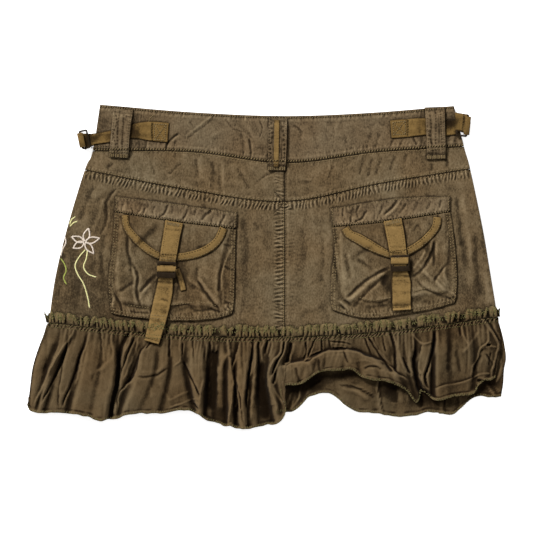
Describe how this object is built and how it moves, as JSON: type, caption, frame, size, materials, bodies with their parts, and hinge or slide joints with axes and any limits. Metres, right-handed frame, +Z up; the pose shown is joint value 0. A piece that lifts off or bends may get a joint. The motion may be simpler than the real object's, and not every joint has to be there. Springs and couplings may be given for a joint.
{
  "type": "cargo utility skirt",
  "caption": "Low-rise twill skirt laid flat on its front, with cargo pockets, webbing adjusters and a gathered flounce.",
  "frame": {"origin": "on the surface that the skirt lies on, under the middle of its outline", "axes": "+X across the skirt to the wearer's right, +Y from hem to waist, +Z up from the surface, out of the skirt's back"},
  "size_m": [0.5245, 0.3553, 0.0161],
  "materials": {
    "body_twill": "washed cotton twill, matte",
    "waistband_twill": "washed cotton twill, matte",
    "pocket_twill": "washed cotton twill, matte",
    "flounce_twill": "gathered washed twill, matte",
    "overlocked_heading": "overlocked raw edge, matte",
    "side_webbing": "washed cotton webbing, matte",
    "pocket_webbing": "cotton webbing, matte",
    "binding_tape": "twill tape, matte",
    "antique_metal": "dark antique brown, satin"
  },
  "bodies": {
    "root": {"belt_loop_centre": "waistband_twill", "belt_loop_left": "waistband_twill", "belt_loop_right": "waistband_twill", "belt_loop_tape": "binding_tape", "panel_back_left": "body_twill", "panel_back_right": "body_twill", "panel_front_left": "body_twill", "panel_front_right": "body_twill", "pocket_bag_left": "pocket_twill", "pocket_bag_right": "pocket_twill", "pocket_binding_left": "binding_tape", "pocket_binding_right": "binding_tape", "pocket_flap_left": "pocket_twill", "pocket_flap_right": "pocket_twill", "pocket_header_left": "pocket_twill", "pocket_header_right": "pocket_twill", "pocket_slider_left": "antique_metal", "pocket_slider_right": "antique_metal", "pocket_strap_end_left": "pocket_webbing", "pocket_strap_left": "pocket_webbing", "pocket_strap_right": "pocket_webbing", "pocket_tail_left": "pocket_webbing", "pocket_tail_right": "pocket_webbing", "ruffle_back": "flounce_twill", "ruffle_front": "flounce_twill", "ruffle_heading": "overlocked_heading", "side_keeper_left": "side_webbing", "side_keeper_right": "side_webbing", "side_slider_left": "antique_metal", "side_slider_right": "antique_metal", "side_strap_left": "side_webbing", "side_strap_right": "side_webbing", "waistband_back_left": "waistband_twill", "waistband_back_right": "waistband_twill", "waistband_front_left": "waistband_twill", "waistband_front_right": "waistband_twill", "yoke_back_left": "body_twill", "yoke_back_right": "body_twill"}
  },
  "joints": []
}
